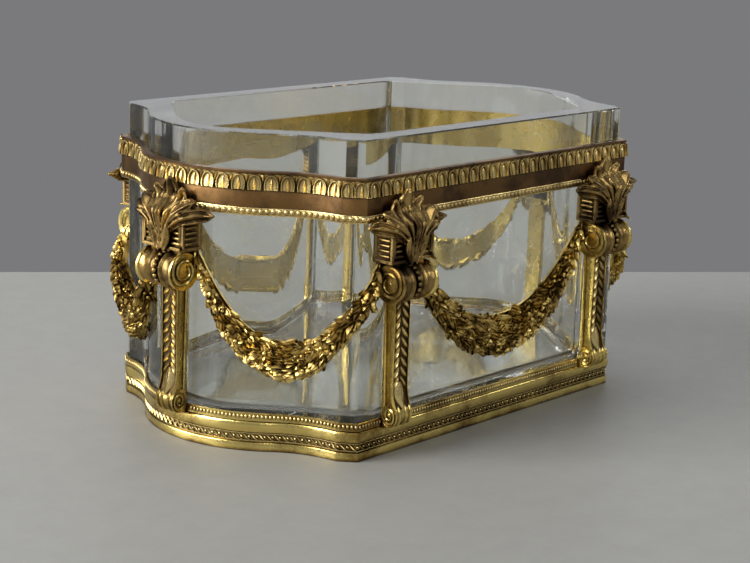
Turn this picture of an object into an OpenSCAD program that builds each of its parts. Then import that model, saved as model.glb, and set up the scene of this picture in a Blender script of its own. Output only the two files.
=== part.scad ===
// Louis XVI style table casket: a thick crystal body that stands in an
// open gilt bronze frame and lifts straight up out of it.
// +Z is up, X runs along the straight long sides, and the origin is on the
// table under the middle of the frame. Every moulding follows one plan line,
// the outer face of the crystal, at its own distance outside that line.

/* [Plan of the crystal] */
// Length of each straight long side
side_len = 180; // [150:1:220]
// Width over the two long sides
glass_w = 148; // [138:1:170]
// Width of the flat facet cut at each corner
facet_w = 8; // [6:0.5:10]
// Turn from the long side to the corner facet
facet_turn = 53.4; // [48:0.1:58]
// Turn from the corner facet to the end shoulder
shoulder_turn = 29; // [24:0.5:32]
// Straight run between the corner facet and the hollow
shoulder_run = 1.5; // [1.4:0.1:3]
// Radius of the hollow at each side of the bowed end
hollow_r = 49; // [42:1:54]
// Steepest slope of the end, where hollow meets bow
bow_turn = 42.6; // [38:0.1:46]

/* [Crystal body] */
// Height of the crystal body
glass_h = 133; // [124:0.1:158]
// Thickness of the floor under the cavity
floor_t = 11; // [8:0.5:16]
// Wall thickness at the long sides
wall_side = 11.5; // [9:0.5:14]
// Wall thickness at the middle of the bowed ends
wall_end = 9.4; // [8:0.1:13]
// Slope of the cavity's end walls
cav_turn = 38; // [34:0.5:42]
// Radius of the cavity at the middle of each end
cav_end_r = 36; // [30:1:42]
// Radius of the cavity's four corners
cav_corner_r = 12; // [9:0.5:16]
// Radius between the cavity's walls and floor
cav_floor_r = 6; // [4:0.5:8]

/* [Base ring] */
// Gap between crystal and bronze all round
fit_gap = 0.5; // [0.4:0.1:0.8]
// Height of the plain foot fillet, and of the ledge that carries the crystal
foot_h = 3.8; // [3:0.1:3.9]
// Width of that ledge under the crystal
ledge_w = 4.5; // [3:0.1:4.8]
// Projection of the foot fillet
foot_out = 1.3; // [1.2:0.1:2.5]
// Height of the guilloche band
guilloche_h = 3.6; // [3:0.1:4.4]
// Depth that the guilloche band is let into the ring
guilloche_let = 0.4; // [0.3:0.05:0.4]
// Height of the half round torus
torus_h = 5; // [3:0.1:6]
// Projection of the torus
torus_out = 1.5; // [1.4:0.1:2.4]
// Thickness of the gallery wall round the crystal's foot
gallery_t = 0.8; // [0.7:0.1:1.2]
// Height of the gallery wall above the torus
gallery_h = 3.8; // [3.4:0.1:5]
// Height of the bead row on the gallery
base_bead_h = 2.4; // [1.4:0.1:2.8]
// Projection of that bead row
base_bead_out = 0.7; // [0.5:0.1:1]

/* [Top band] */
// Underside of the top band above the table
band_z = 103; // [96:0.5:112]
// Projection of the plain frieze
frieze_out = 3.3; // [2.8:0.1:4.2]
// Height of the bead edging under the frieze
edging_h = 3.2; // [2.6:0.1:4]
// Projection of the bead edging from the frieze
edging_out = 1; // [0.7:0.1:1.3]
// Height of the plain frieze above the edging
frieze_h = 7.6; // [6:0.1:10]
// Height of the leaf tip moulding
leaf_tip_h = 6.6; // [5:0.1:8]
// Projection of the leaf tip moulding at its foot
leaf_tip_out = 4.3; // [4:0.1:5]
// Depth of the rebate that holds the leaf tip moulding
rebate = 1.3; // [1:0.1:1.6]
// Thickness of the rim fillet on top
rim_t = 1.2; // [0.8:0.1:2]
// Projection of the rim fillet
rim_out = 3.6; // [3:0.1:4]

/* [Consoles] */
// Distance of the long side consoles from the ends of their side
console_in = 18.7; // [16:0.1:30]
// Width of the ribbed block
block_w = 26; // [22:0.5:28]
// Front of the ribbed block outside the crystal
block_out = 11.3; // [10:0.1:13]
// Height of the ribbed block
block_h = 17; // [14:0.5:19]
// Number of ribs in each sunk panel
ribs = 5; // [3:1:6]
// Depth of the sunk panels
panel_d = 0.8; // [0.5:0.1:1]
// Radius of the large volute
volute_r = 7; // [6:0.1:7.6]
// Length of the large volute
volute_w = 20.5; // [18:0.5:22]
// Width of the pilaster shaft
shaft_w = 10; // [8:0.5:12]
// Depth of the pilaster shaft
shaft_d = 6; // [4.5:0.1:7]
// Radius of the foot volute
foot_volute_r = 4.2; // [3.4:0.1:4.6]
// Length of the foot volute
foot_volute_w = 12; // [9:0.5:13]
// Back plate behind the volute, where the garlands end
plate_w = 23; // [21.5:0.5:24]
// Thickness of that back plate
plate_t = 2.6; // [2:0.1:3.2]

/* [Acanthus leaves] */
// Height of the leaf from the volute to its tip
leaf_h = 30.5; // [28:0.5:33]
// Half width over the tips of the side lobes
leaf_spread = 25.5; // [22:0.5:27]
// Thickness of the leaf at its stem
leaf_t = 3; // [2.4:0.1:4]

/* [Garlands] */
// Depth in the middle of a garland, in front of its flat back
garland_d = 8; // [6:0.5:9]
// Half height of the garland at its ends
garland_end_r = 3.6; // [3:0.1:4.2]
// Half height in the middle of a long side garland
long_mid_r = 9; // [7:0.1:10]
// Half height in the middle of a corner garland
corner_mid_r = 7.6; // [6:0.1:9]
// Height of the garland ends above the table
garland_z = 82; // [78:0.5:84]
// Sag of the garlands at their middle
garland_sag = 40.5; // [30:0.5:46]
// Gap between the garlands and the crystal
garland_gap = 1.6; // [1.4:0.1:2.4]

/* [Fixings] */
// Shank diameter of the frieze screws
screw_d = 1.4; // [1:0.1:1.8]
// Head diameter of the frieze screws
screw_head = 2.4; // [2:0.1:3]
// Distance of each frieze screw from the leaf's middle
screw_u = 10; // [9.5:0.1:12]

/* [Hidden] */
$fn = 96;
crystal = [0.86, 0.9, 0.9, 0.5];
gilt = "goldenrod";
bright = "gold";
worn = "saddlebrown";
ease = 0.01;
seam = 0.1;
foot_step = 0.8;
bead_drop = 0.4;
neck_h = 1.6;
foot_lead = 1.5;
edging_lip = 0.6;
screw_rise = 2;
sink = 0.4;
cove_steps = 3;
panel_frame = 2;
shaft_border = 1.3;
shaft_sink = 1;
eye_out = 0.4;

// ---- plan line, first quadrant; d is the distance outside the line ----
half_w = glass_w / 2;
phi_s = 90 - facet_turn - shoulder_turn;
half_side = side_len / 2;
console_x = half_side - console_in;
corner_s = [half_side + facet_w * cos(facet_turn), half_w - facet_w * sin(facet_turn)];
corner_h = corner_s + shoulder_run * [sin(phi_s), -cos(phi_s)];
hollow_c = corner_h + hollow_r * [cos(phi_s), sin(phi_s)];
bow_r = hollow_c.y / sin(bow_turn) - hollow_r;
bow_c = [hollow_c.x - (hollow_r + bow_r) * cos(bow_turn), 0];
half_end = bow_c.x + bow_r;
function v_side(d) = [half_side + d * tan(facet_turn / 2), half_w + d];
function v_facet(d) = let (m = 90 - facet_turn - shoulder_turn / 2)
    corner_s + d / cos(shoulder_turn / 2) * [cos(m), sin(m)];
function v_hollow(d) = corner_h + d * [cos(phi_s), sin(phi_s)];

// The points p, listed from a long side to an end, repeated in all four quarters
function four(p) = concat(p, [for (i = [len(p) - 1:-1:0]) [p[i].x, -p[i].y]],
    [for (v = p) -v], [for (i = [len(p) - 1:-1:0]) [-p[i].x, p[i].y]]);

// ---- heights ----
glass_top = foot_h + glass_h;
guilloche_z = foot_h + foot_step;
torus_z = guilloche_z + guilloche_h;
gallery_z = torus_z + torus_h;
gallery_top = gallery_z + gallery_h;
gallery_out = fit_gap + gallery_t;
base_bead_z = gallery_top - bead_drop - base_bead_h;
frieze_z = band_z + edging_h;
leaf_tip_z = frieze_z + frieze_h;
rim_z = leaf_tip_z + leaf_tip_h;
edging_d = frieze_out + edging_out;
block_z = band_z - block_h;
back_out = fit_gap + seam;
volute_c = [back_out + seam + volute_r, block_z - volute_r - neck_h];
foot_c = [gallery_out + foot_volute_r + foot_lead, gallery_z + foot_volute_r + seam];
plate_z = volute_c.y - 1;
screw_z = frieze_z + screw_rise;

// An upright cylinder of radius r about the plan point c, from z0 to z1
module post(c, r, z0, z1) translate([c.x, c.y, z0]) cylinder(r = r, h = z1 - z0);

// Its children in all four quarters
module quarters() for (mx = [0, 1]) for (my = [0, 1]) mirror([mx, 0, 0]) mirror([0, my, 0]) children();

// The whole plan at distance d outside the line, from z0 to z1. The arcs are
// whole cylinders, which overlap their neighbours by the small value ease
module plan_prism(d, z0, z1) {
    inner = bow_c + bow_r / 3 * [cos(bow_turn), sin(bow_turn)];
    difference() {
        translate([0, 0, z0]) linear_extrude(z1 - z0)
            polygon(four([v_side(d), v_facet(d), v_hollow(d), hollow_c, inner]));
        quarters() post(hollow_c, hollow_r - d + ease, z0 - 1, z1 + 1);
    }
    for (mx = [0, 1]) mirror([mx, 0, 0]) post(bow_c, bow_r + d, z0, z1);
}

// A wall that follows the plan between two distances
module plan_wall(d0, d1, z0, z1)
    difference() {
        plan_prism(d1, z0, z1);
        plan_prism(d0, z0 - 1, z1 + 1);
    }

// Puts its children at console place i, with x along the wall, y outwards
// from the crystal's face and z up: the two long sides, then the two ends
places = [[-console_x, -half_w, 180], [console_x, -half_w, 180], [-console_x, half_w, 0],
    [console_x, half_w, 0], [-half_end, 0, 90], [half_end, 0, -90]];
module at_place(i) translate([places[i].x, places[i].y, 0]) rotate([0, 0, places[i].z]) children();

// A box from corner a to corner b
module block(a, b) translate(a) cube(b - a);

// ---- crystal body ----
cav_w = half_w - wall_side;
cav_end_c = [half_end - wall_end - cav_end_r, 0];
cav_n = [cos(cav_turn), sin(cav_turn)];
cav_t = (cav_w - cav_end_r * cav_n.y) / cav_n.x;
cav_corner = cav_end_c + cav_end_r * cav_n + cav_t * [-cav_n.y, cav_n.x];
cav_fc = [cav_corner.x - cav_corner_r * tan((90 - cav_turn) / 2), cav_w - cav_corner_r];
cav_floor = foot_h + floor_t;

// The cavity's outline moved in by s, from z0 to z1
module cavity(s, z0, z1) {
    translate([0, 0, z0]) linear_extrude(z1 - z0) polygon(four([[cav_fc.x, cav_w - s],
        cav_fc + (cav_corner_r - s) * cav_n, cav_end_c + (cav_end_r - s) * cav_n]));
    quarters() post(cav_fc, cav_corner_r - s + ease, z0, z1);
    for (mx = [0, 1]) mirror([mx, 0, 0]) post(cav_end_c, cav_end_r - s + ease, z0, z1);
}

// The walls round in to the floor in cove_steps small steps
module crystal_vessel() color(crystal) difference() {
    plan_prism(0, foot_h, glass_top);
    for (i = [0:cove_steps]) let (a = 90 * i / cove_steps)
        cavity(cav_floor_r * (1 - sin(a)), cav_floor + cav_floor_r * (1 - cos(a)), glass_top + 1);
}

// ---- base ring: foot, torus, ledge and gallery wall in one casting ----
guilloche_d = foot_out - guilloche_let;
torus_edge = torus_h / 5;
module base_ring() color(gilt) {
    plan_wall(-ledge_w, foot_out, 0, foot_h);
    plan_wall(fit_gap, foot_out - seam, foot_h, guilloche_z);
    plan_wall(fit_gap, guilloche_d, guilloche_z, torus_z);
    plan_wall(fit_gap, (guilloche_d + torus_out) / 2, torus_z, torus_z + torus_edge);
    plan_wall(fit_gap, torus_out, torus_z + torus_edge, gallery_z - torus_edge / 2);
    plan_wall(fit_gap, gallery_out, gallery_z - torus_edge / 2, gallery_top);
}

// The interlaced strip let in between the foot and the torus
module guilloche_band() color(bright)
    plan_wall(guilloche_d, foot_out, guilloche_z, guilloche_z + guilloche_h);

// The bead row on the gallery wall, in six lengths that stop at the console feet
module base_bead_row() color(bright) difference() {
    plan_wall(gallery_out, gallery_out + base_bead_out, base_bead_z, base_bead_z + base_bead_h);
    for (i = [0:5]) at_place(i)
        block([-shaft_w / 2 - seam, -2, torus_z], [shaft_w / 2 + seam, 6, gallery_top + 1]);
}

// ---- top band ----
// Puts its children on the frieze at distance u from the middle of place i,
// square to the frieze's face and at its foot
bow_a = screw_u / (bow_r + frieze_out) * 180 / PI;
module at_screw(i, side)
    if (i < 4) at_place(i) translate([side * screw_u, frieze_out, screw_z]) rotate([-90, 0, 0]) children();
    else at_place(i) translate([0, -bow_r, screw_z]) rotate([0, 0, side * bow_a])
        translate([0, bow_r + frieze_out, 0]) rotate([-90, 0, 0]) children();

module frieze_band() color(worn) difference() {
    union() {
        plan_wall(fit_gap, frieze_out, band_z, leaf_tip_z);
        plan_wall(fit_gap, frieze_out - rebate, leaf_tip_z, rim_z);
    }
    for (i = [0:5]) for (side = [-1, 1]) at_screw(i, side) {
        translate([0, 0, -frieze_out]) cylinder(d = screw_d + seam, h = frieze_out + 1);
        translate([0, 0, -sink]) cylinder(d = screw_head + seam, h = sink + 1);
    }
}

// Two screws beside each leaf, heads sunk a little into the frieze
module frieze_screws() color("dimgray")
    for (i = [0:5]) for (side = [-1, 1]) at_screw(i, side) {
        translate([0, 0, -frieze_out + fit_gap + seam])
            cylinder(d = screw_d, h = frieze_out - fit_gap - seam);
        translate([0, 0, -sink]) cylinder(d = screw_head, h = sink + 0.3);
    }

// The plain lip under the beads, and the bead row's own strip
module bead_edging() color(bright) {
    plan_wall(frieze_out, frieze_out + edging_out / 2, band_z, band_z + edging_lip);
    plan_wall(frieze_out, edging_d, band_z + edging_lip, frieze_z);
}

// A hollow moulding in three steps, widest at its foot
module leaf_tip_moulding() color(bright) for (i = [0:2])
    plan_wall(frieze_out - rebate, leaf_tip_out + (rim_out - leaf_tip_out) * i / 2,
        leaf_tip_z + leaf_tip_h * i / 3, leaf_tip_z + leaf_tip_h * (i + 1) / 3);

module rim_fillet() color(worn) plan_wall(fit_gap, rim_out, rim_z, rim_z + rim_t);

// ---- consoles ----
// A volute of radius r and length w: a waisted drum with an eye on each end
module volute(c, r, w) translate([0, c.x, c.y]) rotate([0, 90, 0]) {
    rotate_extrude() polygon([[0, -w / 2], [r, -w / 2], [r, -w / 2 + 1.4],
        [r * 0.86, -w * 0.25], [r * 0.86, -w * 0.1], [r * 0.94, -w * 0.08],
        [r * 0.94, w * 0.08], [r * 0.86, w * 0.1], [r * 0.86, w * 0.25],
        [r, w / 2 - 1.4], [r, w / 2], [0, w / 2]]);
    translate([0, -r * 0.2, 0]) cylinder(r = r * 0.22, h = w + 2 * eye_out, center = true);
}

// A sunk panel of half width a between heights z0 and z1, with rounded ribs
module ribbed_panel(a, z0, z1) {
    pitch = (z1 - z0) / ribs;
    difference() {
        block([-a, -panel_d, z0], [a, 1, z1]);
        for (i = [0:ribs - 1]) translate([0, -panel_d, z0 + pitch * (i + 0.5)])
            rotate([0, 90, 0]) cylinder(r = min(panel_d, pitch * 0.4) - ease, h = 2 * a + 1, center = true);
    }
}

module console_solid() {
    half = block_w / 2;
    mid = (back_out + block_out) / 2;
    difference() {
        block([-half, back_out, block_z], [half, block_out, band_z]);
        translate([0, block_out, 0])
            ribbed_panel(half - panel_frame, block_z + panel_frame, band_z - panel_frame);
        for (side = [-1, 1]) translate([side * half, mid, 0]) rotate([0, 0, -90 * side])
            ribbed_panel(block_out - mid - panel_frame, block_z + panel_frame, band_z - panel_frame);
    }
    block([-volute_w / 2 + 0.8, back_out, volute_c.y], [volute_w / 2 - 0.8, block_out - 2, block_z]);
    block([-plate_w / 2, back_out, plate_z], [plate_w / 2, back_out + plate_t, block_z]);
    volute(volute_c, volute_r, volute_w);
    shaft_front = back_out + eye_out + shaft_d;
    difference() {
        block([-shaft_w / 2, back_out + eye_out, foot_c.y], [shaft_w / 2, shaft_front, volute_c.y]);
        block([shaft_border - shaft_w / 2, shaft_front - shaft_sink, foot_c.y + foot_volute_r],
            [shaft_w / 2 - shaft_border, shaft_front + 1, volute_c.y - volute_r - 1]);
    }
    volute(foot_c, foot_volute_r, foot_volute_w);
    block([-shaft_w / 2, back_out, gallery_z + seam], [shaft_w / 2, foot_c.x, foot_c.y + 2]);
}

// A console at place i, its foot fitted to the gallery wall
module console(i) color(gilt) difference() {
    at_place(i) console_solid();
    plan_prism(gallery_out, torus_z, gallery_top);
}

// ---- acanthus leaves ----
// Right half of the fan, seen from the front, in shares of spread and height
fan = [[0.12, 0], [0.16, 0.14], [0.28, 0.28], [0.49, 0.42], [0.8, 0.48], [1, 0.52],
    [0.97, 0.6], [0.75, 0.62], [0.52, 0.665], [0.32, 0.67], [0.31, 0.78], [0.25, 0.88], [0.1, 0.97]];
function leaf_at(v, side) = [side * v.x * leaf_spread, v.y * leaf_h];
module leaf_front() polygon(concat([for (v = fan) leaf_at(v, 1)], [[0, leaf_h]],
    [for (i = [len(fan) - 1:-1:0]) leaf_at(fan[i], -1)]));

// Side view: up the front of the block, then back against the frieze
module leaf_side() polygon([[0, 0], [block_out + leaf_t * 0.7, 0],
    [block_out + leaf_t * 1.3, leaf_h * 0.45], [block_out + leaf_t * 1.2, leaf_h * 0.55],
    [edging_d + leaf_t * 1.1, leaf_h * 0.74], [edging_d + leaf_t * 0.7, leaf_h * 0.87],
    [edging_d + leaf_t * 1.3, leaf_h], [0, leaf_h]]);

// Seen from above: full in the middle, thin at the tips of the side lobes
module leaf_top() polygon([[-leaf_spread, frieze_out - seam], [-leaf_spread, edging_d + leaf_t],
    [-block_w / 2 - 1, block_out], [-block_w / 4, block_out + 2 * leaf_t],
    [block_w / 4, block_out + 2 * leaf_t], [block_w / 2 + 1, block_out],
    [leaf_spread, edging_d + leaf_t], [leaf_spread, frieze_out - seam]]);

module acanthus(i) color(bright) difference() {
    at_place(i) difference() {
        translate([0, 0, block_z]) intersection() {
            rotate([90, 0, 0]) mirror([0, 0, 1]) linear_extrude(2 * block_out) leaf_front();
            rotate([90, 0, 90]) linear_extrude(2 * leaf_spread + 2, center = true) leaf_side();
            linear_extrude(leaf_h) leaf_top();
        }
        block([-block_w / 2, -1, block_z - 1], [block_w / 2, block_out, band_z]);
    }
    plan_prism(edging_d, band_z - 1, frieze_z);
    plan_prism(frieze_out, frieze_z - 1, leaf_tip_z);
    plan_prism(leaf_tip_out, leaf_tip_z - 1, rim_z);
}

// ---- garlands ----
// Point and outward angle on the crystal's line, at length s from the middle
// of a long side towards an end
run_facet = half_side + facet_w;
run_hollow = run_facet + shoulder_run;
run_bow = run_hollow + hollow_r * (bow_turn - phi_s) * PI / 180;
function wall_at(s) =
    s < half_side ? [s, half_w, 90] :
    s < run_facet ? let (t = s - half_side)
        [half_side + t * cos(facet_turn), half_w - t * sin(facet_turn), 90 - facet_turn] :
    s < run_hollow ? let (t = s - run_facet)
        [corner_s.x + t * sin(phi_s), corner_s.y - t * cos(phi_s), phi_s] :
    s < run_bow ? let (a = phi_s + (s - run_hollow) / hollow_r * 180 / PI)
        [hollow_c.x - hollow_r * cos(a), hollow_c.y - hollow_r * sin(a), a] :
    let (a = bow_turn - (s - run_bow) / bow_r * 180 / PI)
        [bow_c.x + bow_r * cos(a), bow_r * sin(a), a];

// The same line with its corners eased over a length of reach on each side
function eased_at(s, reach) =
    let (p = [for (k = [-4:4]) wall_at(s + k * reach / 4)]) [for (j = [0:2])
        (p[0][j] + p[1][j] + p[2][j] + p[3][j] + p[4][j] + p[5][j] + p[6][j] + p[7][j] + p[8][j]) / 9];

// One garland: rings of a half round section, its flat back to the crystal.
// at(t) gives x, y and outward angle for t from -1 to 1, listed in stops
module garland(stops, mid_r) {
    n = len(stops) - 1;
    m = 9;
    rings = [for (i = [0:n]) let (t = 2 * i / n - 1, p = stops[i],
        swell = pow(1 - pow(abs(t), 3), 0.6),
        h = garland_end_r + (mid_r - garland_end_r) * swell,
        z = garland_z - garland_sag * (1 - pow(abs(t), 2.2)))
        for (j = [0:m - 1]) let (a = -90 + 180 * j / (m - 1),
            w = garland_gap + (plate_t + (garland_d - plate_t) * swell) * cos(a))
            [p.x + w * cos(p.z), p.y + w * sin(p.z), z + h * sin(a)]];
    sides = [for (i = [0:n - 1]) for (j = [0:m - 1])
        let (a = i * m + j, b = i * m + (j + 1) % m)
        each [[a, b, b + m], [a, b + m, a + m]]];
    caps = [[for (j = [m - 1:-1:0]) j], [for (j = [0:m - 1]) n * m + j]];
    polyhedron(rings, concat(sides, caps), convexity = 6);
}

// Stops of the garland between the two consoles of a long side
side_half = console_x - plate_w / 2;
side_stops = [for (i = [0:32]) [side_half * (1 - i / 16), half_w, 90]];

// Stops of a corner garland, from a long side console to an end console
corner_from = console_x + plate_w / 2;
end_a = asin(plate_w / 2 / (bow_r + garland_gap));
corner_to = run_bow + bow_r * (bow_turn - end_a) * PI / 180;
corner_stops = [for (i = [0:32]) let (t = i / 32, s = corner_from + (corner_to - corner_from) * t)
    i == 32 ? [half_end - bow_r * (1 - cos(end_a)) , plate_w / 2, 0]
    : eased_at(s, 9 * min(1, 4 * t, 4 * (1 - t)))];

module side_garland(my) color(gilt) mirror([0, my, 0]) garland(side_stops, long_mid_r);
module corner_garland(mx, my) color(gilt) mirror([mx, 0, 0]) mirror([0, my, 0])
    garland(corner_stops, corner_mid_r);

crystal_vessel();
base_ring();
guilloche_band();
base_bead_row();
frieze_band();
bead_edging();
leaf_tip_moulding();
rim_fillet();
console(0);  // console_front_left
console(1);  // console_front_right
console(2);  // console_back_left
console(3);  // console_back_right
console(4);  // console_end_left
console(5);  // console_end_right
acanthus(0);  // acanthus_front_left
acanthus(1);  // acanthus_front_right
acanthus(2);  // acanthus_back_left
acanthus(3);  // acanthus_back_right
acanthus(4);  // acanthus_end_left
acanthus(5);  // acanthus_end_right
side_garland(1);  // garland_front
side_garland(0);  // garland_back
corner_garland(1, 1);  // garland_corner_front_left
corner_garland(0, 1);  // garland_corner_front_right
corner_garland(1, 0);  // garland_corner_back_left
corner_garland(0, 0);  // garland_corner_back_right
frieze_screws();
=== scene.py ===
# %% [markdown]
# # A crystal casket in a gilt bronze frame
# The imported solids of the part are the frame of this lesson. They say where
# each piece sits, in metres, with the origin on the table under the middle.
# Every plain solid is dressed here with the piece that a bronze worker or a
# glass cutter would recognise, and each new piece stands where its solid is.

# %% Load the frame
import math
import random
import bmesh
import bpy
from mathutils import Matrix, Vector


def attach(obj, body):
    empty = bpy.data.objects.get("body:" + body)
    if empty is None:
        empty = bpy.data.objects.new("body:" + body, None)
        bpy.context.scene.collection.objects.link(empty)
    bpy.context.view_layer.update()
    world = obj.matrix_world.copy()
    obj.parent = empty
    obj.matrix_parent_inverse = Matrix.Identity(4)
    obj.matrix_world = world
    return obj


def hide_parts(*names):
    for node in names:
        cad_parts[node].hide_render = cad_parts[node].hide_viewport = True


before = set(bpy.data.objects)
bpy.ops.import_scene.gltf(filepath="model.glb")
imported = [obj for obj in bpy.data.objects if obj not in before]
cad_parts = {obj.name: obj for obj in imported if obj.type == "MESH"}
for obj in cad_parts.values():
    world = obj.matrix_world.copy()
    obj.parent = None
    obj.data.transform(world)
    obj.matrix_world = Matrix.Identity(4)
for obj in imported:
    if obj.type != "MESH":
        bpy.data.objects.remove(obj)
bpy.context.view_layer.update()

MM = 0.001

# %% [markdown]
# ## The plan line
# Every moulding of the frame follows the outer face of the crystal: two
# straight sides, four small facets, and two bowed ends with a hollow at each
# shoulder. One function gives the points of a quarter of that line at any
# distance outside it, and a second repeats them in the other three quarters.
# Working from one line keeps all the mouldings parallel, as on the real frame.

# %% The plan line at a distance outside the crystal
# Lengths are in mm and turns in degrees, from the middle of a long side onwards
half_side, half_w = 90.0, 74.0
facet, facet_turn, shoulder_turn, shoulder = 8.0, 53.4, 29.0, 1.5
hollow_r, bow_turn = 49.0, 42.6
phi = 90 - facet_turn - shoulder_turn


def turned(angle):
    """The unit vector at an angle in degrees."""
    return Vector((math.cos(math.radians(angle)), math.sin(math.radians(angle))))


corner = Vector((half_side, half_w)) + facet * turned(-facet_turn)
hollow_start = corner + shoulder * turned(phi - 90)
hollow_c = hollow_start + hollow_r * turned(phi)
bow_r = hollow_c.y / math.sin(math.radians(bow_turn)) - hollow_r
bow_c = Vector((hollow_c.x - (hollow_r + bow_r) * math.cos(math.radians(bow_turn)), 0))
half_end = bow_c.x + bow_r
SIDE_STEPS, HOLLOW_STEPS, BOW_STEPS = 4, 12, 14


def corner_points(d):
    """The two ends of a facet, d outside the crystal."""
    side = Vector((half_side + d * math.tan(math.radians(facet_turn / 2)), half_w + d))
    mitre = d / math.cos(math.radians(shoulder_turn / 2))
    end = corner + mitre * turned(90 - facet_turn - shoulder_turn / 2)
    return side, end


def quarter(d):
    """From the middle of a long side to the middle of an end."""
    side, end = corner_points(d)
    points = [Vector((side.x * i / SIDE_STEPS, side.y)) for i in range(SIDE_STEPS + 1)] + [end]
    for i in range(HOLLOW_STEPS):
        a = phi + (bow_turn - phi) * i / HOLLOW_STEPS
        points.append(hollow_c - (hollow_r - d) * turned(a))
    for i in range(BOW_STEPS + 1):
        points.append(bow_c + (bow_r + d) * turned(bow_turn * (1 - i / BOW_STEPS)))
    return points


def all_round(q):
    """A quarter's points repeated round the whole plan, turning left."""
    a = [Vector((p.x, p.y)) for p in q[::-1]]
    b = [Vector((-p.x, p.y)) for p in q[1:]]
    c = [Vector((-p.x, -p.y)) for p in q[-2::-1]]
    e = [Vector((p.x, -p.y)) for p in q[1:-1]]
    return a + b + c + e


def level(points, z):
    return [Vector((p.x, p.y, z)) for p in points]


print("plan points:", len(all_round(quarter(0))), "half length of the crystal:", round(half_end, 2), "mm")

# %% [markdown]
# ## Spacing ornament along the frame
# Beads, leaf tips and interlace are set out from corner to corner, so that a
# whole number fits each length. A place is a small local frame: x runs along
# the moulding, y points out of it and z is up.

# %% Lengths from corner to corner, and equal places on them
def lengths(d):
    """The eight runs of the line from corner to corner."""
    q = quarter(d)
    side, end = corner_points(d)
    bow = q[SIDE_STEPS + 1:]
    bow = bow + [Vector((p.x, -p.y)) for p in bow[-2::-1]]
    right = [[Vector((-side.x, side.y)), side], [side, end], bow, [bow[-1], Vector((side.x, -side.y))]]
    return right + [[-p for p in run] for run in right]


def places(d, pitch):
    """Equal places on every run, as near to the pitch as a whole number allows."""
    made = []
    for run in lengths(d):
        steps = [(b - a).length for a, b in zip(run, run[1:])]
        total = sum(steps)
        count = max(1, round(total / pitch))
        for i in range(count):
            left, k = (i + 0.5) * total / count, 0
            while left > steps[k]:
                left -= steps[k]
                k += 1
            way = (run[k + 1] - run[k]).normalized()
            at = run[k] + way * left
            made.append(Matrix.Translation((at.x * MM, at.y * MM, 0))
                        @ Matrix.Rotation(math.atan2(way.y, way.x), 4, "Z"))
    return made


console_x = 71.3
consoles = {
    "front_left": (-console_x, -half_w, 180), "front_right": (console_x, -half_w, 180),
    "back_left": (-console_x, half_w, 0), "back_right": (console_x, half_w, 0),
    "end_left": (-half_end, 0, 90), "end_right": (half_end, 0, -90),
}


def at_console(name):
    x, y, angle = consoles[name]
    return Matrix.Translation((x * MM, y * MM, 0)) @ Matrix.Rotation(math.radians(angle), 4, "Z")


print("bead places at a pitch of 2.6 mm:", len(places(4, 2.6)))

# %% [markdown]
# ## Tools of the bench
# A swept piece starts as a circle with as many points as the section has.
# It is extruded once for each ring, and the new points are moved to their
# places. A repeated ornament is modelled once and then copied.

# %% Select and sweep
WELD_MM = 0.001


def fresh():
    """Leaves edit mode and lets go of everything, ready for the next piece."""
    if bpy.context.object and bpy.context.object.mode != "OBJECT":
        bpy.ops.object.mode_set(mode="OBJECT")
    bpy.ops.object.select_all(action="DESELECT")


def take(piece):
    """Makes a piece the active one, and the only one selected."""
    fresh()
    piece.select_set(True)
    bpy.context.view_layer.objects.active = piece


def swept(name, rings, shut=False):
    """Extrudes a circle through rings of points in mm. A shut sweep meets its
    own start, and an open one is closed by its two end faces."""
    fresh()
    bpy.ops.mesh.primitive_circle_add(vertices=len(rings[0]), enter_editmode=True,
                                      fill_type="NOTHING" if shut else "NGON")
    piece = bpy.context.object
    bm = bmesh.from_edit_mesh(piece.data)
    station = bm.verts.layers.int.new("station")
    for i, v in enumerate(bm.verts):
        v[station] = i
        v.co = rings[0][i] * MM
    for ring in rings[1:] + ([rings[0]] if shut else []):
        bpy.ops.mesh.extrude_region_move()
        bm = bmesh.from_edit_mesh(piece.data)
        station = bm.verts.layers.int["station"]
        for v in bm.verts:
            if v.select:
                v.co = ring[v[station]] * MM
    bmesh.update_edit_mesh(piece.data)
    bpy.ops.mesh.select_all(action="SELECT")
    if shut:
        bpy.ops.mesh.remove_doubles(threshold=WELD_MM * MM)
    bpy.ops.mesh.normals_make_consistent(inside=False)
    bpy.ops.object.mode_set(mode="OBJECT")
    piece.data.attributes.remove(piece.data.attributes["station"])
    piece.name = piece.data.name = name
    return piece


def moulding(name, profile):
    """Sweeps a profile of (distance outside the crystal, height) round the plan."""
    return swept(name, [level(all_round(quarter(d)), z) for d, z in profile], shut=True)


# %% Copy, join and smooth
def set_out(name, pattern, spots):
    """Copies a pattern to every spot, and gives one piece with its own mesh."""
    made = bmesh.new()
    for spot in spots:
        one = pattern.data.copy()
        one.transform(spot)
        if spot.determinant() < 0:
            one.flip_normals()
        made.from_mesh(one)
        bpy.data.meshes.remove(one)
    mesh = bpy.data.meshes.new(name)
    made.to_mesh(mesh)
    made.free()
    piece = bpy.data.objects.new(name, mesh)
    bpy.context.scene.collection.objects.link(piece)
    return piece


def joined(name, parts):
    """Joins parts to one mesh, as a casting is one piece of metal."""
    fresh()
    for part in parts:
        part.select_set(True)
    bpy.context.view_layer.objects.active = parts[0]
    bpy.ops.object.join()
    parts[0].name = parts[0].data.name = name
    return parts[0]


def discard(*parts):
    for part in parts:
        bpy.data.meshes.remove(part.data)


def smoothed(piece, angle):
    take(piece)
    bpy.ops.object.shade_smooth_by_angle(angle=math.radians(angle))
    return piece
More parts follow.
